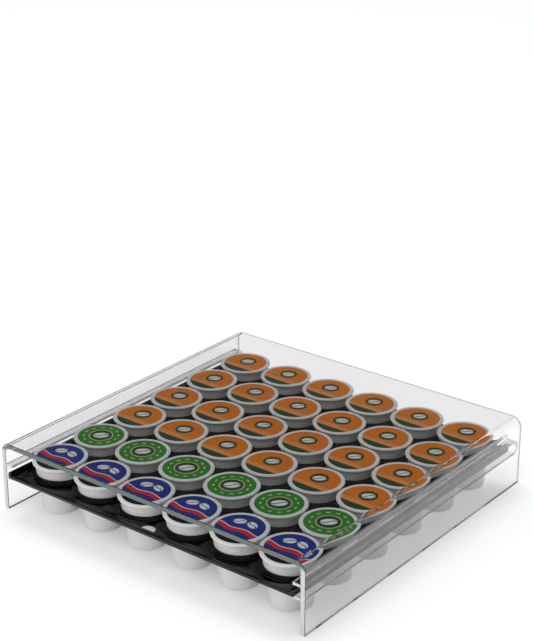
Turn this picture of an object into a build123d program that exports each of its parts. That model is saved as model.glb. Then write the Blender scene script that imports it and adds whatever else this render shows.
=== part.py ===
from build123d import *
import math
import os

# Coffee pod drawer: a clear cover bent from one sheet and open at both ends,
# a clear runner strip on each of its side walls, and a black tray of pods
# that slides out to the front between the strips.
# Millimetres. Origin at the bottom centre of the closed drawer, +X to the
# right, +Y to the back, +Z up. The tray is in its closed place.

# ---- cover sheet -----------------------------------------------------------
cover_width = 346.0
cover_depth = 335.6
cover_height = 67.5
sheet_thickness = 5.0
bend_radius = 10.0  # outside of the two top bends
sheet_edge_break = 0.4

# ---- runners: one flat strip per side, bent back on itself into a long U ----
strip_thickness = 2.5
strip_width = 7.6  # how far a strip stands out from the cover's wall
channel_middle = 39.05  # height of the middle of the channel
channel_gap = 9.9  # clear height between the two legs
runner_back_inset = 2.2  # from the round bend to the cover's back edge

# ---- tray ------------------------------------------------------------------
tray_wall_gap = 5.3  # from the tray's side to the cover's wall
tray_overhang = 2.8  # how far the tray's front stands out of the cover
tray_back_gap = 5.1  # from the tray's back edge to the inside of the runners' bend
tray_rest_gap = 0.3  # from the lower legs up to the tray
plate_thickness = 2.8
lip_width = 3.0
lip_rise = 3.0  # from the plate's top to the lips' top
tray_corner_radius = 1.5
lip_edge_break = 0.4

# ---- pockets ---------------------------------------------------------------
columns = 6
rows = 6
round_sides = 20  # flat facets round each pod and pocket, which keep three dozen of them light
column_pitch = 52.8
row_pitch = 53.5
front_row_inset = 36.25  # from the tray's front edge to the first row
collar_rise = 0.85  # from the plate's top to the collars' top
collar_width = 2.9
pocket_clearance = 0.4  # round a pod's waist

# ---- pods, which hang in the pockets by their shoulders ----------------------
pod_base_radius = 17.6
pod_waist_radius = 21.3
pod_shoulder_radius = 22.4
pod_neck_radius = 23.1
pod_flange_radius = 25.5
pod_depth = 36.05  # from the shoulder down to the base
pod_neck_height = 9.85  # from the shoulder up to the flange
pod_flange_thickness = 1.6

# ---- finger slot in the tray's front margin ----------------------------------
slot_radius = 7.5
slot_front_inset = 7.4  # from the tray's front edge to the slot's straight side

# ---- sizes that follow -------------------------------------------------------
half_overall_depth = (cover_depth + tray_overhang) / 2
cover_front = tray_overhang - half_overall_depth
cover_back = cover_front + cover_depth
wall_inside = cover_width / 2 - sheet_thickness

bend_inside = channel_gap / 2
bend_outside = bend_inside + strip_thickness
bend_middle = cover_back - runner_back_inset - bend_outside
runner_inside = wall_inside - strip_width

tray_front = -half_overall_depth
tray_back = bend_middle + bend_inside - tray_back_gap
tray_depth = tray_back - tray_front
tray_middle = (tray_front + tray_back) / 2
tray_half_width = wall_inside - tray_wall_gap
tray_bottom = channel_middle - bend_inside + tray_rest_gap
plate_top = tray_bottom + plate_thickness
lip_top = plate_top + lip_rise
collar_top = plate_top + collar_rise

first_column = -(columns - 1) / 2 * column_pitch
first_row = tray_front + front_row_inset
pocket_radius = pod_waist_radius + pocket_clearance
pocket_places = [
    (first_column + column * column_pitch, first_row + row * row_pitch)
    for row in range(rows)
    for column in range(columns)
]
slot_edge = tray_front + slot_front_inset


def export(part, name):
    """Label a part and write it under its own name."""
    part.label = name
    export_step(part, f"parts/{name}.step")


os.makedirs("parts", exist_ok=True)

# ---- cover -------------------------------------------------------------------
# The profile is the sheet's section across the drawer: two walls, two bends
# and the top, drawn as one outline and run the full depth.
with BuildPart() as cover:
    with BuildSketch(Plane.XZ.offset(-cover_back)):
        with Locations((0, cover_height / 2)):
            Rectangle(cover_width, cover_height)
        fillet(vertices().group_by(Axis.Y)[-1], bend_radius)
        with Locations((0, (cover_height - sheet_thickness) / 2)):
            Rectangle(2 * wall_inside, cover_height - sheet_thickness, mode=Mode.SUBTRACT)
        ceiling = cover_height - sheet_thickness
        inner_corners = vertices().filter_by_position(Axis.Y, ceiling - 0.1, ceiling + 0.1)
        fillet(inner_corners, bend_radius - sheet_thickness)
    extrude(amount=cover_depth)
    end_faces = faces().filter_by(Axis.Y)
    chamfer(end_faces.edges(), sheet_edge_break)
export(cover.part, "cover")


# ---- runners -----------------------------------------------------------------
def make_runner(side):
    """One strip with its edge on the side's wall, its open ends at the front."""
    leg_length = bend_middle - cover_front
    with BuildPart() as runner:
        with BuildSketch(Plane.YZ.offset(runner_inside)):
            for half_height, mode in ((bend_outside, Mode.ADD), (bend_inside, Mode.SUBTRACT)):
                with Locations((bend_middle, channel_middle)):
                    Circle(half_height, mode=mode)
                with Locations((bend_middle - leg_length / 2, channel_middle)):
                    Rectangle(leg_length, 2 * half_height, mode=mode)
        extrude(amount=strip_width)
        if side < 0:
            mirror(about=Plane.YZ, mode=Mode.REPLACE)
    return runner.part


for side, side_name in ((-1, "left"), (1, "right")):
    export(make_runner(side), f"{side_name}_runner")

# ---- tray --------------------------------------------------------------------
with BuildPart() as tray:
    # plate with rounded corners
    with BuildSketch(Plane.XY.offset(tray_bottom)):
        with Locations((0, tray_middle)):
            RectangleRounded(2 * tray_half_width, tray_depth, tray_corner_radius)
    extrude(amount=plate_thickness)
    # lips that run in the channels
    with BuildSketch(Plane.XY.offset(plate_top)):
        with Locations((0, tray_middle)):
            RectangleRounded(2 * tray_half_width, tray_depth, tray_corner_radius)
            Rectangle(2 * (tray_half_width - lip_width), tray_depth, mode=Mode.SUBTRACT)
    extrude(amount=lip_rise)
    lip_edges = edges().filter_by_position(Axis.Z, lip_top - 0.1, lip_top + 0.1)
    chamfer(lip_edges.filter_by(Axis.Y), lip_edge_break)
    # raised collars round the pockets
    with BuildSketch(Plane.XY.offset(plate_top)):
        with Locations(pocket_places):
            RegularPolygon(pocket_radius + collar_width, round_sides)
    extrude(amount=collar_rise)
    # pockets right through the collars and the plate
    with BuildSketch(Plane.XY.offset(tray_bottom)):
        with Locations(pocket_places):
            RegularPolygon(pocket_radius, round_sides)
    extrude(amount=collar_top - tray_bottom, mode=Mode.SUBTRACT)
    # half-round finger slot with its straight side to the front
    with BuildSketch(Plane.XY.offset(tray_bottom)):
        with Locations((0, slot_edge)):
            Circle(slot_radius)
            Rectangle(2 * slot_radius, slot_radius, align=(Align.CENTER, Align.MAX), mode=Mode.SUBTRACT)
    extrude(amount=plate_thickness, mode=Mode.SUBTRACT)
export(tray.part, "tray")


# ---- pods --------------------------------------------------------------------
def make_band(bottom, height, low_radius, high_radius):
    """One band of a pod, its walls drafted so that it widens upwards."""
    face_shift = (high_radius - low_radius) * math.cos(math.pi / round_sides)
    with BuildPart() as band:
        with BuildSketch(Plane.XY.offset(bottom)):
            RegularPolygon(low_radius, round_sides)
        extrude(amount=height)
        if face_shift > 0:
            walls = faces().filter_by(Axis.Z, reverse=True)
            draft(walls, Plane.XY.offset(bottom), -math.degrees(math.atan(face_shift / height)))
    return band.part


def make_pod():
    """One sealed pod round the Z axis, with its shoulder at the collars' top."""
    cup = make_band(collar_top - pod_depth, pod_depth, pod_base_radius, pod_waist_radius)
    neck = make_band(collar_top, pod_neck_height, pod_shoulder_radius, pod_neck_radius)
    flange = make_band(
        collar_top + pod_neck_height, pod_flange_thickness, pod_flange_radius, pod_flange_radius
    )
    with BuildPart() as pod:
        add(cup)
        add(neck)
        add(flange)
    return pod.part


pod_shape = make_pod()
for place, (pod_x, pod_y) in enumerate(pocket_places):
    row, column = divmod(place, columns)
    export(pod_shape.moved(Location((pod_x, pod_y, 0))), f"pod_row{row + 1}_column{column + 1}")
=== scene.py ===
"""Looks of the coffee pod drawer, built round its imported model.

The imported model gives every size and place. This file dresses its clear cover
and runners, and puts rounded pieces in place of its faceted tray and pods.
Metres, with the origin at the bottom centre of the closed drawer.
"""

from __future__ import annotations

import logging
import math
from dataclasses import dataclass
from enum import Enum
from typing import Sequence, Union

import bpy
from mathutils import Matrix, Vector

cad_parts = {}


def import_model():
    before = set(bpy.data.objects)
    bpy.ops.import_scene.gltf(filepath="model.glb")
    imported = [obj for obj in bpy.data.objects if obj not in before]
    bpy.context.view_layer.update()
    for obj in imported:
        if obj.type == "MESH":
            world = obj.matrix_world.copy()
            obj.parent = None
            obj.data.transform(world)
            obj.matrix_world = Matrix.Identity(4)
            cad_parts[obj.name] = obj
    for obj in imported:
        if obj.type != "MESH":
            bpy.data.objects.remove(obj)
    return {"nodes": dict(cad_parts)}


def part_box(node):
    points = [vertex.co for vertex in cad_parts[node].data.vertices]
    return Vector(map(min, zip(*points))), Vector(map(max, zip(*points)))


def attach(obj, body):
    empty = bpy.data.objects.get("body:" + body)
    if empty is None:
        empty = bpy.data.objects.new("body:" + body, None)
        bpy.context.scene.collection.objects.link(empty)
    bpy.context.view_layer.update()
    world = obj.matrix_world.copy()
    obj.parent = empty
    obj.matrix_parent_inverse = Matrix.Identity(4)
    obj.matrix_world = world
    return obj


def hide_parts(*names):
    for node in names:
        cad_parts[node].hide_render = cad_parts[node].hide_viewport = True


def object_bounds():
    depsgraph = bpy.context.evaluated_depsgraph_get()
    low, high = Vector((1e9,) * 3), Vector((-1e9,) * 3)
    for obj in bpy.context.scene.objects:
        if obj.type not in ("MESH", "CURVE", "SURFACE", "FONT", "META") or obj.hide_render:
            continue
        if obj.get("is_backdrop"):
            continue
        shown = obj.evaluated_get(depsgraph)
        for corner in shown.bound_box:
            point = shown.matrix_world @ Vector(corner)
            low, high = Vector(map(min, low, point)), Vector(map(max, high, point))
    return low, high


LOG = logging.getLogger("coffee_pod_drawer")
MM = 0.001

Colour = tuple[float, float, float]
Profile = Sequence[tuple[float, float]]  # radius and height of each ring, in millimetres
Sockets = bpy.types.bpy_prop_collection
Source = Union[bpy.types.NodeSocket, float, Colour]

NO_LIGHT: Colour = (0.0, 0.0, 0.0)
FULL_LIGHT: Colour = (1.0, 1.0, 1.0)


class LidDesign(Enum):
    """The three printed lids in the drawer."""

    BLUE = "blue"
    GREEN = "green"
    ORANGE = "orange"


class Change(Enum):
    """What a second solid does to the first."""

    ADD = "UNION"
    TAKE = "DIFFERENCE"


# ---- working with meshes ---------------------------------------------------------


class Bench:
    """Bench tools that shape a piece the way it is done by hand."""

    smooth_angle = 32.0
    same_place = 0.001 * MM

    @staticmethod
    def clear() -> None:
        """Deselect everything."""
        bpy.ops.object.select_all(action="DESELECT")

    @staticmethod
    def pick(obj: bpy.types.Object) -> None:
        """Select one object alone and make it the active one.

        Args:
            obj: The object.
        """
        Bench.clear()
        obj.select_set(True)
        bpy.context.view_layer.objects.active = obj

    @staticmethod
    def settle(obj: bpy.types.Object) -> None:
        """Move an object's place and size into its mesh."""
        Bench.pick(obj)
        bpy.ops.object.transform_apply(location=True, rotation=True, scale=True)

    @staticmethod
    def block(name: str, low: Vector, high: Vector) -> bpy.types.Object:
        """Add a block between two corners.

        Args:
            name: Name of the new object.
            low: Its lowest corner.
            high: Its highest corner.

        Returns:
            The block, with its place in its mesh.
        """
        Bench.clear()
        bpy.ops.mesh.primitive_cube_add(size=1.0, location=(low + high) / 2)
        obj = bpy.context.object
        obj.name = name
        obj.scale = high - low
        Bench.settle(obj)
        return obj

    @staticmethod
    def lathe(
        name: str, profile: Profile, segments: int, closed: bool = False
    ) -> bpy.types.Object:
        """Draw a ring up a profile, as a turned piece about the Z axis.

        Args:
            name: Name of the new object.
            profile: Radius and height of each ring, in millimetres.
            segments: Sides of a ring.
            closed: True where the profile ends where it began, so that it
                needs no end discs.

        Returns:
            The turned piece.
        """
        Bench.clear()
        rings = [(radius * MM, height * MM) for radius, height in profile]
        radius, height = rings[0]
        start = (0, 0, height)
        bpy.ops.mesh.primitive_circle_add(vertices=segments, radius=radius, location=start)
        obj = bpy.context.object
        obj.name = name
        Bench.settle(obj)
        bpy.ops.object.mode_set(mode="EDIT")
        bpy.ops.mesh.select_mode(type="EDGE")
        bpy.ops.mesh.select_all(action="SELECT")
        for (last_radius, last_height), (radius, height) in zip(rings, rings[1:]):
            rise = {"value": (0, 0, height - last_height)}
            bpy.ops.mesh.extrude_region_move(TRANSFORM_OT_translate=rise)
            growth = radius / last_radius
            middle = (0, 0, height)
            bpy.ops.transform.resize(value=(growth, growth, 1), center_override=middle)
        bpy.ops.mesh.select_all(action="SELECT")
        if closed:
            bpy.ops.mesh.remove_doubles(threshold=Bench.same_place)
        else:
            bpy.ops.mesh.fill_holes(sides=0)
        bpy.ops.mesh.select_all(action="SELECT")
        bpy.ops.mesh.normals_make_consistent(inside=False)
        bpy.ops.object.mode_set(mode="OBJECT")
        Bench.smooth(obj)
        return obj

    @staticmethod
    def smooth(obj: bpy.types.Object) -> None:
        """Shade smooth over every edge that turns only a little."""
        Bench.pick(obj)
        bpy.ops.object.shade_smooth_by_angle(angle=math.radians(Bench.smooth_angle))

    @staticmethod
    def copy_to(obj: bpy.types.Object, name: str, place: Vector) -> bpy.types.Object:
        """Copy a piece with its own mesh and move the copy's mesh to a place.

        Args:
            obj: The piece.
            name: Name of the copy.
            place: How far the copy's mesh moves.

        Returns:
            The copy.
        """
        twin = obj.copy()
        twin.data = obj.data.copy()
        twin.name = name
        twin.data.transform(Matrix.Translation(place))
        bpy.context.collection.objects.link(twin)
        return twin

    @staticmethod
    def join(pieces: Sequence[bpy.types.Object], name: str) -> bpy.types.Object:
        """Join pieces into one object.

        Args:
            pieces: The pieces, of which the first one stays.
            name: Name of the joined object.

        Returns:
            The joined object.
        """
        Bench.clear()
        for piece in pieces:
            piece.select_set(True)
        bpy.context.view_layer.objects.active = pieces[0]
        bpy.ops.object.join()
        pieces[0].name = name
        return pieces[0]

    @staticmethod
    def combine(obj: bpy.types.Object, other: bpy.types.Object, change: Change) -> None:
        """Fuse a second solid into a piece or take its shape out, and remove it.

        Args:
            obj: The piece.
            other: The second solid.
            change: What it does to the piece.
        """
        Bench.pick(obj)
        boolean = obj.modifiers.new("combine", "BOOLEAN")
        boolean.operation = change.value
        boolean.solver = "EXACT"
        boolean.object = other
        bpy.ops.object.modifier_apply(modifier=boolean.name)
        bpy.data.objects.remove(other)

    @staticmethod
    def round_edges(obj: bpy.types.Object, width: float, segments: int, degrees: float) -> None:
        """Round every sharp edge of a piece.

        Args:
            obj: The piece.
            width: Width of the rounding.
            segments: Facets across it.
            degrees: The least turn of an edge that is rounded.
        """
        Bench.pick(obj)
        bevel = obj.modifiers.new("round", "BEVEL")
        bevel.width = width
        bevel.segments = segments
        bevel.limit_method = "ANGLE"
        bevel.angle_limit = math.radians(degrees)
        bevel.use_clamp_overlap = True
        bpy.ops.object.modifier_apply(modifier=bevel.name)

    @staticmethod
    def dress(obj: bpy.types.Object, material: bpy.types.Material) -> None:
        """Give a piece one material all over."""
        obj.data.materials.clear()
        obj.data.materials.append(material)


# ---- working with shader nodes ----------------------------------------------------


class Wires:
    """Places and joins the nodes of one material or group."""

    row_length = 8
    step_across = 180
    step_down = 220
    mix_inputs = (0, 6, 7)  # a colour Mix node's factor and its two colours
    mix_result = 2

    def __init__(self, tree: bpy.types.NodeTree) -> None:
        """Start on a node tree."""
        self.tree = tree
        self.count = 0

    def node(self, kind: str, **settings: object) -> bpy.types.Node:
        """Add a node and set its properties.

        Args:
            kind: The node's type name.
            settings: Its properties by name.

        Returns:
            The new node.
        """
        new = self.tree.nodes.new(kind)
        row, place = divmod(self.count, self.row_length)
        new.location = (self.step_across * place, -self.step_down * row)
        self.count += 1
        for key, value in settings.items():
            setattr(new, key, value)
        return new

    def join(self, source: bpy.types.NodeSocket, target: bpy.types.NodeSocket) -> None:
        """Link an output to an input."""
        self.tree.links.new(source, target)

    def put(self, socket: bpy.types.NodeSocket, value: Source) -> None:
        """Link a source to an input, or set the input's constant.

        Args:
            socket: The input.
            value: An output, a number or a colour.
        """
        if isinstance(value, bpy.types.NodeSocket):
            self.join(value, socket)
        elif socket.type == "RGBA":
            socket.default_value = (*value, 1.0)
        else:
            socket.default_value = value

    def feed(self, node: bpy.types.Node, values: dict[str, Source]) -> None:
        """Link or set some of a node's inputs.

        Args:
            node: The node.
            values: What goes into each input, by the input's name.
        """
        for name, value in values.items():
            self.put(node.inputs[name], value)

    def group(self, tree: bpy.types.NodeTree, values: dict[str, Source]) -> Sockets:
        """Place a node group and feed it.

        Args:
            tree: The group.
            values: What goes into each input, by the input's name.

        Returns:
            The group's outputs.
        """
        new = self.node("ShaderNodeGroup", node_tree=tree)
        self.feed(new, values)
        return new.outputs

    def math(self, operation: str, *values: Source, clamp: bool = False) -> bpy.types.NodeSocket:
        """Add a Math node.

        Args:
            operation: What the node does.
            values: Its inputs in order.
            clamp: True to keep the answer between 0 and 1.

        Returns:
            The answer.
        """
        new = self.node("ShaderNodeMath", operation=operation, use_clamp=clamp)
        for socket, value in zip(new.inputs, values):
            self.put(socket, value)
        return new.outputs[0]

    def squares(self, one: Source, other: Source) -> bpy.types.NodeSocket:
        """Add the squares of two values."""
        return self.math("ADD", self.math("MULTIPLY", one, one), self.math("MULTIPLY", other, other))

    def mask(self, depth: Source, sharpness: float) -> bpy.types.NodeSocket:
        """Turn a depth inside a shape into a mask with a narrow soft edge."""
        return self.math("MULTIPLY_ADD", depth, sharpness, 0.5, clamp=True)

    def step(self, value: Source, low: float, high: float) -> bpy.types.NodeSocket:
        """Rise smoothly from 0 to 1 as a value grows.

        Args:
            value: The value.
            low: Where the rise begins.
            high: Where it ends.

        Returns:
            The mask.
        """
        new = self.node("ShaderNodeMapRange", interpolation_type="SMOOTHSTEP")
        self.feed(new, {"Value": value, "From Min": low, "From Max": high})
        return new.outputs["Result"]

    def paint(self, mask: Source, under: Source, over: Source) -> bpy.types.NodeSocket:
        """Lay one colour over another where a mask is 1.

        Args:
            mask: The mask.
            under: The colour where it is 0.
            over: The colour where it is 1.

        Returns:
            The mixed colour.
        """
        new = self.node("ShaderNodeMix", data_type="RGBA")
        for place, value in zip(self.mix_inputs, (mask, under, over)):
            self.put(new.inputs[place], value)
        return new.outputs[self.mix_result]

    def bump(
        self, height: bpy.types.NodeSocket, strength: float, distance: float
    ) -> bpy.types.NodeSocket:
        """Turn a height into a normal.

        Args:
            height: The height, from 0 to 1.
            strength: How much of it shows.
            distance: What a height of 1 stands for, in metres.

        Returns:
            The normal.
        """
        new = self.node("ShaderNodeBump")
        self.feed(new, {"Strength": strength, "Distance": distance, "Height": height})
        return new.outputs[0]


class NodeGroups:
    """Shared effects, each built once as a group with named sockets."""

    grain_detail = 3.0
    ring_sharpness = 60.0
    bean_slimness = 0.68
    bean_sharpness = 9.0
    crease_swing = 0.16
    crease_half_width = 0.09
    crease_sharpness = 14.0

    @staticmethod
    def start(
        name: str, inputs: dict[str, float | None], outputs: Sequence[str]
    ) -> tuple[Wires, Sockets, Sockets]:
        """Start a group with its sockets.

        Args:
            name: The group's name.
            inputs: Default of each float input by name, or None for a vector.
            outputs: Names of its float outputs.

        Returns:
            The group's wires, the sockets that bring its inputs and the ones
            that take its outputs.
        """
        tree = bpy.data.node_groups.new(name, "ShaderNodeTree")
        for label, default in inputs.items():
            kind = "NodeSocketVector" if default is None else "NodeSocketFloat"
            socket = tree.interface.new_socket(label, in_out="INPUT", socket_type=kind)
            if default is not None:
                socket.default_value = default
        for label in outputs:
            tree.interface.new_socket(label, in_out="OUTPUT", socket_type="NodeSocketFloat")
        wires = Wires(tree)
        given = wires.node("NodeGroupInput").outputs
        result = wires.node("NodeGroupOutput").inputs
        return wires, given, result

    @staticmethod
    def fine_grain() -> bpy.types.NodeTree:
        """Faint unevenness of a surface, as a height and a roughness shift.

        Returns:
            The group.
        """
        name = "fine_grain"
        if name in bpy.data.node_groups:
            return bpy.data.node_groups[name]
        inputs = {"Position": None, "Scale": 200.0, "Strength": 0.1}
        wires, given, result = NodeGroups.start(name, inputs, ("Height", "Shift"))
        noise = wires.node("ShaderNodeTexNoise")
        wires.feed(
            noise,
            {
                "Vector": given["Position"],
                "Scale": given["Scale"],
                "Detail": NodeGroups.grain_detail,
            },
        )
        centred = wires.math("SUBTRACT", noise.outputs["Fac"], 0.5)
        wires.join(wires.math("MULTIPLY", centred, given["Strength"]), result["Shift"])
        wires.join(noise.outputs["Fac"], result["Height"])
        return wires.tree

    @staticmethod
    def lid_coordinates() -> bpy.types.NodeTree:
        """Across, up, radius and angle on a lid, where 1 is the print's radius.

        Returns:
            The group.
        """
        name = "lid_coordinates"
        if name in bpy.data.node_groups:
            return bpy.data.node_groups[name]
        inputs = {"UV": None, "Reach": 2.2}
        outputs = ("Across", "Up", "Radius", "Angle")
        wires, given, result = NodeGroups.start(name, inputs, outputs)
        split = wires.node("ShaderNodeSeparateXYZ")
        wires.join(given["UV"], split.inputs[0])
        across, up = (
            wires.math("MULTIPLY", wires.math("SUBTRACT", split.outputs[axis], 0.5), given["Reach"])
            for axis in ("X", "Y")
        )
        wires.join(across, result["Across"])
        wires.join(up, result["Up"])
        wires.join(wires.math("SQRT", wires.squares(across, up)), result["Radius"])
        wires.join(wires.math("ARCTAN2", up, across), result["Angle"])
        return wires.tree

    @staticmethod
    def ring() -> bpy.types.NodeTree:
        """A band of a given half width about a middle value.

        Returns:
            The group.
        """
        name = "ring"
        if name in bpy.data.node_groups:
            return bpy.data.node_groups[name]
        inputs = {"Value": 0.0, "Middle": 0.5, "Half Width": 0.05}
        wires, given, result = NodeGroups.start(name, inputs, ("Mask",))
        away = wires.math("ABSOLUTE", wires.math("SUBTRACT", given["Value"], given["Middle"]))
        depth = wires.math("SUBTRACT", given["Half Width"], away)
        wires.join(wires.mask(depth, NodeGroups.ring_sharpness), result["Mask"])
        return wires.tree

    @staticmethod
    def bean() -> bpy.types.NodeTree:
        """A coffee bean: an oval with an S-shaped crease left open along it.

        Returns:
            The group.
        """
        name = "bean"
        if name in bpy.data.node_groups:
            return bpy.data.node_groups[name]
        places = ("Across", "Up", "Centre Across", "Centre Up")
        inputs = {**dict.fromkeys(places, 0.0), "Size": 0.3, "Turn": 0.0}
        wires, given, result = NodeGroups.start(name, inputs, ("Mask",))
        x = wires.math("SUBTRACT", given["Across"], given["Centre Across"])
        y = wires.math("SUBTRACT", given["Up"], given["Centre Up"])
        cosine, sine = (wires.math(wave, given["Turn"]) for wave in ("COSINE", "SINE"))
        along = wires.math("ADD", wires.math("MULTIPLY", x, cosine), wires.math("MULTIPLY", y, sine))
        side = wires.math(
            "SUBTRACT", wires.math("MULTIPLY", y, cosine), wires.math("MULTIPLY", x, sine)
        )
        along, side = (wires.math("DIVIDE", way, given["Size"]) for way in (along, side))
        square = wires.squares(along, wires.math("DIVIDE", side, NodeGroups.bean_slimness))
        oval = wires.mask(wires.math("SUBTRACT", 1.0, square), NodeGroups.bean_sharpness)
        curve = wires.math("SINE", wires.math("MULTIPLY", along, math.pi))
        curve = wires.math("MULTIPLY", curve, NodeGroups.crease_swing)
        off = wires.math("ABSOLUTE", wires.math("SUBTRACT", side, curve))
        off = wires.math("SUBTRACT", off, NodeGroups.crease_half_width)
        beside_crease = wires.mask(off, NodeGroups.crease_sharpness)
        wires.join(wires.math("MULTIPLY", oval, beside_crease), result["Mask"])
        return wires.tree


# ---- finishes ---------------------------------------------------------------------


def new_material(name: str) -> tuple[bpy.types.Material, Wires, bpy.types.Node]:
    """Start a material with one Principled shader.

    Args:
        name: The material's name.

    Returns:
        The material, its wires and its shader node.
    """
    material = bpy.data.materials.new(name)
    material.use_nodes = True
    material.node_tree.nodes.clear()
    wires = Wires(material.node_tree)
    shader = wires.node("ShaderNodeBsdfPrincipled")
    output = wires.node("ShaderNodeOutputMaterial")
    wires.join(shader.outputs[0], output.inputs["Surface"])
    return material, wires, shader


@dataclass(frozen=True)
class ClearSheet:
    """Polished clear sheet, which lets the lamps' light through."""

    name: str
    body: float = 1.0
    tint: Colour = (0.983, 0.986, 0.984)
    refraction: float = 1.49
    shade: Colour = (0.95, 0.96, 0.96)  # what is left of a lamp's light behind it

    def build(self) -> bpy.types.Material:
        """Make the material.

        Returns:
            The material.
        """
        material, wires, shader = new_material(self.name)
        wires.feed(
            shader,
            {
                "Base Color": self.tint,
                "Roughness": 0.0,
                "IOR": self.refraction,
                "Transmission Weight": 1.0,
                "Alpha": self.body,
            },
        )
        rays = wires.node("ShaderNodeLightPath")
        open_way = wires.node("ShaderNodeBsdfTransparent")
        wires.feed(open_way, {"Color": self.shade})
        mix = wires.node("ShaderNodeMixShader")
        wires.join(rays.outputs["Is Shadow Ray"], mix.inputs[0])
        wires.join(shader.outputs[0], mix.inputs[1])
        wires.join(open_way.outputs[0], mix.inputs[2])
        output = next(node for node in wires.tree.nodes if node.type == "OUTPUT_MATERIAL")
        wires.join(mix.outputs[0], output.inputs["Surface"])
        return material


@dataclass(frozen=True)
class SawnEnd:
    """Sawn end of a clear sheet: pale on the walls, and darker greenish grey along the top, which is
    a painted dark reflection.
    """

    name: str
    colour: Colour = (0.86, 0.885, 0.88)
    body: float = 0.78
    # darker greenish grey along the top of the end: painted dark reflection
    top_reflection_colour: Colour = (0.40, 0.47, 0.43)
    top_body: float = 0.42
    bend_low: float = 58.0 * MM
    bend_high: float = 64.0 * MM
    roughness: float = 0.18
    grain_scale: float = 60.0
    grain_shift: float = 0.1

    def build(self) -> bpy.types.Material:
        """Make the material.

        Returns:
            The material.
        """
        material, wires, shader = new_material(self.name)
        position = wires.node("ShaderNodeTexCoord").outputs["Object"]
        grain = wires.group(
            NodeGroups.fine_grain(),
            {"Position": position, "Scale": self.grain_scale, "Strength": self.grain_shift},
        )
        split = wires.node("ShaderNodeSeparateXYZ")
        wires.join(position, split.inputs[0])
        # mask of the top, where the painted dark reflection goes
        top = wires.step(split.outputs["Z"], self.bend_low, self.bend_high)
        wires.feed(
            shader,
            {
                "Base Color": wires.paint(top, self.colour, self.top_reflection_colour),
                "Roughness": wires.math("ADD", grain["Shift"], self.roughness),
                "Alpha": wires.math("MULTIPLY_ADD", top, self.top_body - self.body, self.body),
            },
        )
        return material


@dataclass(frozen=True)
class MouldedPlastic:
    """Moulded plastic with a faint unevenness in its shine."""

    name: str
    colour: Colour
    roughness: float
    shine: float = 0.5
    grain_scale: float = 260.0
    grain_shift: float = 0.04
    bump_strength: float = 0.004
    bump_distance: float = 0.2 * MM

    def build(self) -> bpy.types.Material:
        """Make the material.

        Returns:
            The material.
        """
        material, wires, shader = new_material(self.name)
        position = wires.node("ShaderNodeTexCoord").outputs["Object"]
        grain = wires.group(
            NodeGroups.fine_grain(),
            {"Position": position, "Scale": self.grain_scale, "Strength": self.grain_shift},
        )
        wires.feed(
            shader,
            {
                "Base Color": self.colour,
                "Roughness": wires.math("ADD", grain["Shift"], self.roughness, clamp=True),
                "Specular IOR Level": self.shine,
                "Normal": wires.bump(grain["Height"], self.bump_strength, self.bump_distance),
            },
        )
        return material


TRAY_PLASTIC = MouldedPlastic("black_tray_plastic", (0.0014, 0.0014, 0.0016), 0.16, shine=0.36)
CUP_PLASTIC = MouldedPlastic("white_cup_plastic", (0.87, 0.87, 0.86), 0.34)


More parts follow.
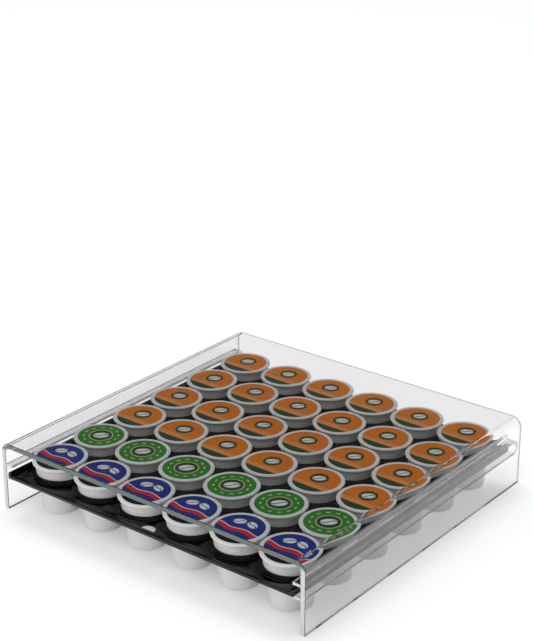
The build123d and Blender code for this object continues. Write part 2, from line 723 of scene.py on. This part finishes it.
@dataclass(frozen=True)
class PrintedFoil:
    """Heat-sealed foil lid with a plain printed design inside a white border.

    Lengths in a design are in print radii.
    """

    design: LidDesign
    reach: float
    border: Colour = (0.88, 0.88, 0.88)
    white: Colour = (0.86, 0.86, 0.84)
    blue: Colour = (0.010, 0.028, 0.240)
    red: Colour = (0.600, 0.020, 0.025)
    black: Colour = (0.010, 0.010, 0.014)
    green: Colour = (0.022, 0.240, 0.020)
    dark_green: Colour = (0.006, 0.055, 0.024)
    orange: Colour = (0.780, 0.205, 0.006)
    cream: Colour = (0.760, 0.600, 0.360)
    border_start: float = 0.985
    softness: float = 0.01
    line: float = 0.022
    thin_line: float = 0.014
    roughness: float = 0.42
    shine: float = 0.2
    grain_scale: float = 5.0
    grain_shift: float = 0.10
    bump_strength: float = 0.12
    bump_distance: float = 0.3 * MM

    def build(self) -> bpy.types.Material:
        """Make the design's material on the lid's own map.

        Returns:
            The material.
        """
        material, wires, shader = new_material(f"{self.design.value}_lid_foil")
        chart = wires.node("ShaderNodeUVMap", uv_map="print").outputs[0]
        place = wires.group(NodeGroups.lid_coordinates(), {"UV": chart, "Reach": self.reach})
        grain = wires.group(
            NodeGroups.fine_grain(),
            {"Position": chart, "Scale": self.grain_scale, "Strength": self.grain_shift},
        )
        painters = {
            LidDesign.BLUE: self.blue_design,
            LidDesign.GREEN: self.green_design,
            LidDesign.ORANGE: self.orange_design,
        }
        ink = painters[self.design](wires, place)
        edge = wires.step(place["Radius"], self.border_start, 1.0)
        wires.feed(
            shader,
            {
                "Base Color": wires.paint(edge, ink, self.border),
                "Roughness": wires.math("ADD", grain["Shift"], self.roughness),
                "Specular IOR Level": self.shine,
                "Normal": wires.bump(grain["Height"], self.bump_strength, self.bump_distance),
            },
        )
        return material

    def past(
        self, wires: Wires, value: bpy.types.NodeSocket, limit: float
    ) -> bpy.types.NodeSocket:
        """Mask of what lies past a limit, with a soft edge."""
        return wires.step(value, limit - self.softness, limit + self.softness)

    def band(
        self, wires: Wires, value: bpy.types.NodeSocket, middle: float, half_width: float
    ) -> bpy.types.NodeSocket:
        """Mask of a band about a value of a coordinate."""
        inputs = {"Value": value, "Middle": middle, "Half Width": half_width}
        return wires.group(NodeGroups.ring(), inputs)["Mask"]

    def bean(
        self, wires: Wires, place: Sockets, centre: tuple[float, float], size: float, turn: float
    ) -> bpy.types.NodeSocket:
        """Mask of one coffee bean.

        Args:
            wires: The material's wires.
            place: Outputs of the lid's coordinates.
            centre: Across and up of the bean's middle.
            size: Half its length.
            turn: Its turn in radians.

        Returns:
            The mask.
        """
        inputs = {
            "Across": place["Across"],
            "Up": place["Up"],
            "Centre Across": centre[0],
            "Centre Up": centre[1],
            "Size": size,
            "Turn": turn,
        }
        return wires.group(NodeGroups.bean(), inputs)["Mask"]

    def blue_design(self, wires: Wires, place: Sockets) -> bpy.types.NodeSocket:
        """Blue over a red wave and a black foot, with two white beans above the wave.

        Args:
            wires: The material's wires.
            place: Outputs of the lid's coordinates.

        Returns:
            The printed colour.
        """
        wave_speed, wave_rise = 5.0, 0.06
        wave_top, wave_bottom = -0.09, -0.35
        foot_top, foot_line = -0.63, -0.60
        bean_size, beans = 0.27, (((-0.30, 0.38), 0.5), ((0.28, 0.42), -0.5))

        swing = wires.math("SINE", wires.math("MULTIPLY", place["Across"], wave_speed))
        level = wires.math("SUBTRACT", place["Up"], wires.math("MULTIPLY", swing, wave_rise))
        colour = wires.paint(self.past(wires, level, wave_top), self.red, self.blue)
        colour = wires.paint(self.past(wires, level, wave_bottom), self.blue, colour)
        colour = wires.paint(self.band(wires, level, wave_top, self.line), colour, self.white)
        colour = wires.paint(self.past(wires, place["Up"], foot_top), self.black, colour)
        edge = self.band(wires, place["Up"], foot_line, self.line)
        colour = wires.paint(edge, colour, self.white)
        for centre, turn in beans:
            bean = self.bean(wires, place, centre, bean_size, turn)
            colour = wires.paint(bean, colour, self.white)
        return colour

    def green_design(self, wires: Wires, place: Sockets) -> bpy.types.NodeSocket:
        """Green with a darker middle, a cream ring, short dashes and a bean in the ring.

        Args:
            wires: The material's wires.
            place: Outputs of the lid's coordinates.

        Returns:
            The printed colour.
        """
        middle_radius, ring_radius = 0.47, 0.50
        dash_radius, dash_half_width, dash_count, dash_fade = 0.74, 0.035, 12.0, 0.3
        bean_size, bean_turn = 0.34, 0.7

        outside = self.past(wires, place["Radius"], middle_radius)
        colour = wires.paint(outside, self.dark_green, self.green)
        ring = self.band(wires, place["Radius"], ring_radius, self.line)
        colour = wires.paint(ring, colour, self.cream)
        beat = wires.math("SINE", wires.math("MULTIPLY", place["Angle"], dash_count))
        dash_ring = self.band(wires, place["Radius"], dash_radius, dash_half_width)
        dashes = wires.math("MULTIPLY", dash_ring, wires.step(beat, 0.0, dash_fade))
        colour = wires.paint(dashes, colour, self.cream)
        bean = self.bean(wires, place, (0.0, 0.0), bean_size, bean_turn)
        return wires.paint(bean, colour, self.white)

    def orange_design(self, wires: Wires, place: Sockets) -> bpy.types.NodeSocket:
        """Orange with a bean on a dark badge, over two cream lines and a dark green foot.

        Args:
            wires: The material's wires.
            place: Outputs of the lid's coordinates.

        Returns:
            The printed colour.
        """
        foot_top, low_line, high_line = -0.61, -0.50, -0.37
        badge_height = 0.20
        badge_start, badge_end = 0.150, 0.165  # squares of the radii its edge lies between
        bean_size, bean_turn = 0.29, 0.6

        above_foot = self.past(wires, place["Up"], foot_top)
        colour = wires.paint(above_foot, self.dark_green, self.orange)
        for middle, half_width in ((low_line, self.line), (high_line, self.thin_line)):
            line = self.band(wires, place["Up"], middle, half_width)
            colour = wires.paint(line, colour, self.cream)
        rise = wires.math("SUBTRACT", place["Up"], badge_height)
        around_badge = wires.step(wires.squares(rise, place["Across"]), badge_start, badge_end)
        colour = wires.paint(around_badge, self.dark_green, colour)
        bean = self.bean(wires, place, (0.0, badge_height), bean_size, bean_turn)
        return wires.paint(bean, colour, self.white)


# ---- sub-assemblies ---------------------------------------------------------------


def middle_of(node: str, height: float) -> Vector:
    """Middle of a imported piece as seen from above, at a given height."""
    low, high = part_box(node)
    return Vector(((low.x + high.x) / 2, (low.y + high.y) / 2, height))


@dataclass
class ClearCover:
    """The cover and its two runner strips, shown as packed."""

    nodes: dict[str, bpy.types.Object]
    sheet_body: float = 1.0
    runner_body: float = 0.75
    end_depth: float = 0.05 * MM  # how deep a face may lie and still be part of a sawn end

    def build(self) -> None:
        """Dress the cover and both runners in clear sheet with sawn ends."""
        bodies = {
            "cover": self.sheet_body,
            "left_runner": self.runner_body,
            "right_runner": self.runner_body,
        }
        for name, body in bodies.items():
            piece = self.nodes[name]
            Bench.dress(piece, ClearSheet(f"clear_{name}", body=body).build())
            piece.data.materials.append(SawnEnd(f"{name}_sawn_end").build())
            low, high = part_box(name)
            for face in piece.data.polygons:
                depths = [piece.data.vertices[corner].co.y for corner in face.vertices]
                at_front = max(depths) < low.y + self.end_depth
                at_back = min(depths) > high.y - self.end_depth
                face.material_index = 1 if at_front or at_back else 0
            LOG.info("dressed %s", name)


@dataclass
class Tray:
    """The black tray: plate with a sunk floor, side lips, collars and finger slot."""

    pod_nodes: list[str]
    plate: float = 2.8 * MM
    lip: float = 3.0 * MM
    hole_radius: float = 21.7 * MM
    sunk: float = 1.9 * MM
    ledge: float = 3.0 * MM
    side_ledge: float = 1.2 * MM
    sunk_corner: float = 26.0 * MM
    collar: Profile = (
        (21.7, 0.0),
        (21.7, 0.60),
        (21.9, 0.80),
        (22.2, 0.85),
        (23.2, 0.85),
        (23.7, 0.76),
        (24.1, 0.50),
        (24.3, 0.10),
        (24.5, -0.80),
        (24.7, -1.30),
        (25.1, -1.62),
        (25.6, -1.78),
        (26.2, -1.88),
        (26.2, -2.00),
        (21.7, -2.00),
        (21.7, 0.0),
    )
    slot_radius: float = 7.5 * MM
    slot_inset: float = 7.4 * MM
    segments: int = 64
    slot_segments: int = 48
    sunk_corner_segments: int = 16
    cutter_length: float = 16.8 * MM
    edge: float = 0.35 * MM
    edge_segments: int = 2
    edge_angle: float = 50.0

    def centres(self) -> list[Vector]:
        """Middle of each pod, at the height of the tray's underside."""
        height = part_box("tray")[0].z
        return [middle_of(node, height) for node in self.pod_nodes]

    def build(self, black: bpy.types.Material) -> None:
        """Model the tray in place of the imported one.

        Args:
            black: The tray's material.
        """
        low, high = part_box("tray")
        plate = Bench.block("tray_plate", low, Vector((high.x, high.y, low.z + self.plate)))
        for side in (-1, 1):
            inner = side * (high.x - self.lip)
            outer = side * high.x
            lip = Bench.block(
                "lip",
                Vector((min(inner, outer), low.y, low.z + self.plate / 2)),
                Vector((max(inner, outer), high.y, high.z)),
            )
            Bench.combine(plate, lip, Change.ADD)
        self.sink_floor(plate, low, high)
        self.cut_pockets(plate)
        self.cut_slot(plate, low)
        Bench.round_edges(plate, self.edge, self.edge_segments, self.edge_angle)
        Bench.smooth(plate)
        Bench.dress(plate, black)
        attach(plate, "tray")
        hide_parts("tray")
        LOG.info("modelled the tray's plate with %d pockets", len(self.pod_nodes))
        self.build_collars(low.z + self.plate, black)

    def sink_floor(self, plate: bpy.types.Object, low: Vector, high: Vector) -> None:
        """Sink the floor round the collars, with round corners and a ledge all round.

        Args:
            plate: The plate with its lips.
            low: The tray's lowest corner.
            high: The tray's highest corner.
        """
        inset = self.lip + self.side_ledge
        pan = Bench.block(
            "pan",
            Vector((low.x + inset, low.y + self.ledge, low.z + self.plate - self.sunk)),
            Vector((high.x - inset, high.y - self.ledge, low.z + self.cutter_length / 2)),
        )
        bpy.ops.object.mode_set(mode="EDIT")
        bpy.ops.mesh.select_mode(type="EDGE")
        bpy.ops.mesh.select_all(action="DESELECT")
        bpy.ops.object.mode_set(mode="OBJECT")
        for edge in pan.data.edges:
            one, other = (pan.data.vertices[corner].co for corner in edge.vertices)
            edge.select = abs(one.z - other.z) > self.plate
        bpy.ops.object.mode_set(mode="EDIT")
        bpy.ops.mesh.bevel(
            offset=self.sunk_corner, segments=self.sunk_corner_segments, affect="EDGES"
        )
        bpy.ops.object.mode_set(mode="OBJECT")
        Bench.combine(plate, pan, Change.TAKE)

    def cut_pockets(self, plate: bpy.types.Object) -> None:
        """Cut every round pocket through the plate.

        Args:
            plate: The plate.
        """
        Bench.clear()
        bpy.ops.mesh.primitive_cylinder_add(
            vertices=self.segments,
            radius=self.hole_radius,
            depth=self.cutter_length,
            location=(0, 0, 0),
        )
        pin = bpy.context.object
        pins = [Bench.copy_to(pin, "pin", centre) for centre in self.centres()]
        bpy.data.objects.remove(pin)
        Bench.combine(plate, Bench.join(pins, "pins"), Change.TAKE)

    def cut_slot(self, plate: bpy.types.Object, low: Vector) -> None:
        """Cut the half-round finger slot, straight side to the front.

        Args:
            plate: The plate.
            low: The tray's lowest corner.
        """
        Bench.clear()
        line = low.y + self.slot_inset
        bpy.ops.mesh.primitive_cylinder_add(
            vertices=self.slot_segments,
            radius=self.slot_radius,
            depth=self.cutter_length,
            location=(0, line, low.z),
        )
        pin = bpy.context.object
        Bench.settle(pin)
        bpy.ops.object.mode_set(mode="EDIT")
        bpy.ops.mesh.select_all(action="SELECT")
        bpy.ops.mesh.bisect(
            plane_co=(0, line, 0), plane_no=(0, -1, 0), clear_outer=True, use_fill=True
        )
        bpy.ops.object.mode_set(mode="OBJECT")
        Bench.combine(plate, pin, Change.TAKE)

    def build_collars(self, height: float, black: bpy.types.Material) -> None:
        """Turn one collar and set a copy round each pocket.

        Args:
            height: Height of the plate's top.
            black: The tray's material.
        """
        ring = Bench.lathe("collar", self.collar, self.segments, closed=True)
        lift = Vector((0, 0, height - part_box("tray")[0].z))
        copies = [Bench.copy_to(ring, "collar", centre + lift) for centre in self.centres()]
        bpy.data.objects.remove(ring)
        collars = Bench.join(copies, "pocket_collars")
        Bench.dress(collars, black)
        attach(collars, "tray")
        LOG.info("modelled %d collars", len(copies))


@dataclass
class Pod:
    """One pod design: a turned cup, and a foil lid sealed to its flange."""

    cup: Profile = (
        (12.8, 2.75),
        (13.3, 2.70),
        (13.9, 2.05),
        (14.4, 2.00),
        (16.6, 2.00),
        (17.2, 2.15),
        (17.5, 2.45),
        (17.7, 3.00),
        (21.20, 37.55),
        (21.30, 37.90),
        (21.55, 38.06),
        (21.90, 38.12),
        (22.15, 38.32),
        (22.22, 38.75),
        (22.36, 39.90),
        (22.02, 40.12),
        (22.04, 40.46),
        (22.52, 40.66),
        (22.62, 41.80),
        (22.28, 42.02),
        (22.30, 42.36),
        (22.78, 42.56),
        (22.96, 44.60),
        (23.05, 46.90),
        (23.45, 47.60),
        (24.60, 47.90),
        (25.20, 47.98),
        (25.46, 48.20),
        (25.50, 48.55),
        (25.44, 48.95),
        (25.15, 49.22),
        (24.70, 49.28),
        (20.00, 49.28),
    )
    lid: Profile = (
        (24.85, 49.26),
        (24.88, 49.36),
        (24.75, 49.44),
        (24.20, 49.48),
        (23.30, 49.46),
        (22.90, 49.38),
        (22.00, 49.36),
    )
    print_radius: float = 21.9 * MM
    map_radius: float = 24.9 * MM
    segments: int = 64

    def model_cup(self) -> bpy.types.Object:
        """Turn one cup about the Z axis."""
        return Bench.lathe("cup", self.cup, self.segments)

    def model_lid(self) -> bpy.types.Object:
        """Turn one lid and lay its print map flat over it.

        Returns:
            The lid.
        """
        lid = Bench.lathe("lid", self.lid, self.segments)
        chart = lid.data.uv_layers.new(name="print")
        for loop in lid.data.loops:
            spot = lid.data.vertices[loop.vertex_index].co
            chart.data[loop.index].uv = (
                0.5 + spot.x / (2 * self.map_radius),
                0.5 + spot.y / (2 * self.map_radius),
            )
        return lid

    def reach(self) -> float:
        """Width of the print map in print radii."""
        return 2 * self.map_radius / self.print_radius


@dataclass
class PodRows:
    """All the pods, with their lids chosen row by row from the front."""

    pod: Pod
    nodes: list[str]
    columns: int = 6
    designs: tuple[LidDesign, ...] = (
        LidDesign.BLUE,
        LidDesign.GREEN,
        LidDesign.ORANGE,
        LidDesign.ORANGE,
        LidDesign.ORANGE,
        LidDesign.ORANGE,
    )

    def build(self, white: bpy.types.Material) -> None:
        """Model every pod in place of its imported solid.

        Args:
            white: The cups' material.
        """
        cup, lid = self.pod.model_cup(), self.pod.model_lid()
        foils = {design: PrintedFoil(design, self.pod.reach()).build() for design in LidDesign}
        for place, node in enumerate(self.nodes):
            centre = middle_of(node, 0.0)
            design = self.designs[place // self.columns]
            name = node.replace("pod_", "")
            body = Bench.copy_to(cup, f"cup_{name}", centre)
            Bench.dress(body, white)
            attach(body, "tray")
            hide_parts(node)
            seal = Bench.copy_to(lid, f"lid_{name}", centre)
            Bench.dress(seal, foils[design])
            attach(seal, "tray")
        for pattern in (cup, lid):
            bpy.data.objects.remove(pattern)
        LOG.info("modelled %d pods", len(self.nodes))


# ---- studio -----------------------------------------------------------------------


@dataclass(frozen=True)
class Lamp:
    """A square lamp that faces the object and leaves no square in shiny surfaces."""

    name: str
    place: tuple[float, float, float]
    size: float
    power: float

    def hang(self) -> None:
        """Hang the lamp in its place, turned to the origin."""
        data = bpy.data.lights.new(self.name, "AREA")
        data.size = self.size
        data.energy = self.power
        lamp = bpy.data.objects.new(self.name, data)
        place = Vector(self.place)
        lamp.location = place
        lamp.rotation_euler = (-place).to_track_quat("-Z", "Y").to_euler()
        lamp.visible_glossy = False
        lamp.visible_transmission = False
        bpy.context.collection.objects.link(lamp)


@dataclass(frozen=True)
class Studio:
    """A plain white room: floor, soft lamps and the camera."""

    lamps: tuple[Lamp, ...] = (
        Lamp("key", (-0.9, 0.5, 1.9), 0.9, 15.0),
        Lamp("fill", (0.3, -1.2, 1.7), 1.0, 10.0),
    )
    floor_size: float = 12.0
    floor_drop: float = 0.05 * MM
    floor_colour: Colour = (0.80, 0.80, 0.80)
    floor_shown: Colour = (0.60, 0.60, 0.60)
    floor_roughness: float = 0.9
    floor_shine: float = 0.1
    floor_glow: float = 0.35
    far_glow: float = 0.10  # added to the glow from far_start to far_end
    far_start: float = 0.3
    far_end: float = 1.6
    room_strength: float = 0.98
    ceiling_strength: float = 0.06
    ceiling_start: float = 0.05  # upward part of a direction where the ceiling begins
    ceiling_end: float = 0.24
    azimuth: float = 38.384
    elevation: float = 22.269
    roll: float = -0.049
    camera_place: tuple[float, float, float] = (0.836427, -1.052857, 0.726875)
    image_height: float = 641.0
    focal_pixels: float = 1625.2
    sensor_height: float = 36.0
    clip_start: float = 0.05

    def build(self) -> None:
        """Make the floor, the room's light, the lamps and the camera."""
        self.add_floor()
        self.add_room()
        for lamp in self.lamps:
            lamp.hang()
        self.add_camera()

    def add_floor(self) -> None:
        """Lay a wide pale floor that looks white and keeps its shadows."""
        Bench.clear()
        place = (0, 0, -self.floor_drop)
        bpy.ops.mesh.primitive_plane_add(size=self.floor_size, location=place)
        floor = bpy.context.object
        floor.name = "studio_floor"
        material, wires, shader = new_material("studio_floor")
        rays = wires.node("ShaderNodeLightPath").outputs
        seen = wires.math("MAXIMUM", rays["Is Camera Ray"], rays["Is Transmission Ray"])
        seen = wires.math("MAXIMUM", seen, rays["Is Glossy Ray"])
        reach = wires.node("ShaderNodeVectorMath", operation="LENGTH")
        wires.join(wires.node("ShaderNodeTexCoord").outputs["Object"], reach.inputs[0])
        far = wires.step(reach.outputs["Value"], self.far_start, self.far_end)
        glow = wires.math("MULTIPLY_ADD", far, self.far_glow, self.floor_glow)
        glow = wires.math("MULTIPLY", seen, glow)
        wires.feed(
            shader,
            {
                "Base Color": wires.paint(seen, self.floor_colour, self.floor_shown),
                "Emission Color": wires.paint(glow, NO_LIGHT, FULL_LIGHT),
                "Emission Strength": 1.0,
                "Roughness": self.floor_roughness,
                "Specular IOR Level": self.floor_shine,
            },
        )
        Bench.dress(floor, material)
        floor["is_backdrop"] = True

    def add_room(self) -> None:
        """Light the room evenly and show it white, with a darker ceiling in reflections."""
        world = bpy.data.worlds.new("white_room")
        bpy.context.scene.world = world
        world.use_nodes = True
        world.node_tree.nodes.clear()
        wires = Wires(world.node_tree)
        rays = wires.node("ShaderNodeLightPath").outputs
        split = wires.node("ShaderNodeSeparateXYZ")
        wires.join(wires.node("ShaderNodeTexCoord").outputs["Generated"], split.inputs[0])
        overhead = wires.step(split.outputs["Z"], self.ceiling_start, self.ceiling_end)
        ceiling = wires.math("MULTIPLY_ADD", overhead, self.ceiling_strength - 1.0, 1.0)
        shown = wires.math("MAXIMUM", rays["Is Camera Ray"], rays["Is Transmission Ray"])
        plain = wires.math("MULTIPLY_ADD", shown, 1.0 - self.room_strength, self.room_strength)
        shone = wires.math("GREATER_THAN", rays["Glossy Depth"], 0.5)
        first = wires.math("LESS_THAN", rays["Diffuse Depth"], 0.5)
        shone = wires.math("MULTIPLY", shone, first)
        mirrored = wires.math("MAXIMUM", rays["Is Glossy Ray"], shone)
        change = wires.math("SUBTRACT", ceiling, plain)
        sky = wires.node("ShaderNodeBackground")
        wires.feed(sky, {"Strength": wires.math("MULTIPLY_ADD", mirrored, change, plain)})
        output = wires.node("ShaderNodeOutputWorld")
        wires.join(sky.outputs[0], output.inputs["Surface"])

    def add_camera(self) -> None:
        """Set the camera at the photograph's place and angle."""
        turn, tilt, roll = (math.radians(v) for v in (self.azimuth, self.elevation, self.roll))
        ahead = Vector((math.sin(turn), -math.cos(turn), 0))
        back = ahead * math.cos(tilt) + Vector((0, 0, math.sin(tilt)))
        level = Vector((math.cos(turn), math.sin(turn), 0))
        upright = back.cross(level)
        right = level * math.cos(roll) + upright * math.sin(roll)
        up = upright * math.cos(roll) - level * math.sin(roll)
        data = bpy.data.cameras.new("camera")
        data.sensor_fit = "VERTICAL"
        data.sensor_height = self.sensor_height
        data.lens = self.focal_pixels * self.sensor_height / self.image_height
        data.clip_start = self.clip_start
        camera = bpy.data.objects.new("camera", data)
        axes = Matrix((right, up, back)).transposed().to_4x4()
        camera.matrix_world = Matrix.Translation(self.camera_place) @ axes
        bpy.context.collection.objects.link(camera)
        bpy.context.scene.camera = camera


def main() -> list[list[float]]:
    """Build the whole scene.

    Returns:
        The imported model's box, as its lowest and highest corner.
    """
    logging.basicConfig(level=logging.INFO, format="%(name)s: %(message)s")
    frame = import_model()
    packed = [list(corner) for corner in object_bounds()]
    bpy.context.scene.view_settings.view_transform = "Standard"
    pods = sorted(name for name in frame["nodes"] if name.startswith("pod_"))
    ClearCover(frame["nodes"]).build()
    Tray(pods).build(TRAY_PLASTIC.build())
    PodRows(Pod(), pods).build(CUP_PLASTIC.build())
    Studio().build()
    LOG.info("set up the studio")
    return packed


if __name__ == "__main__":
    packed_box = main()
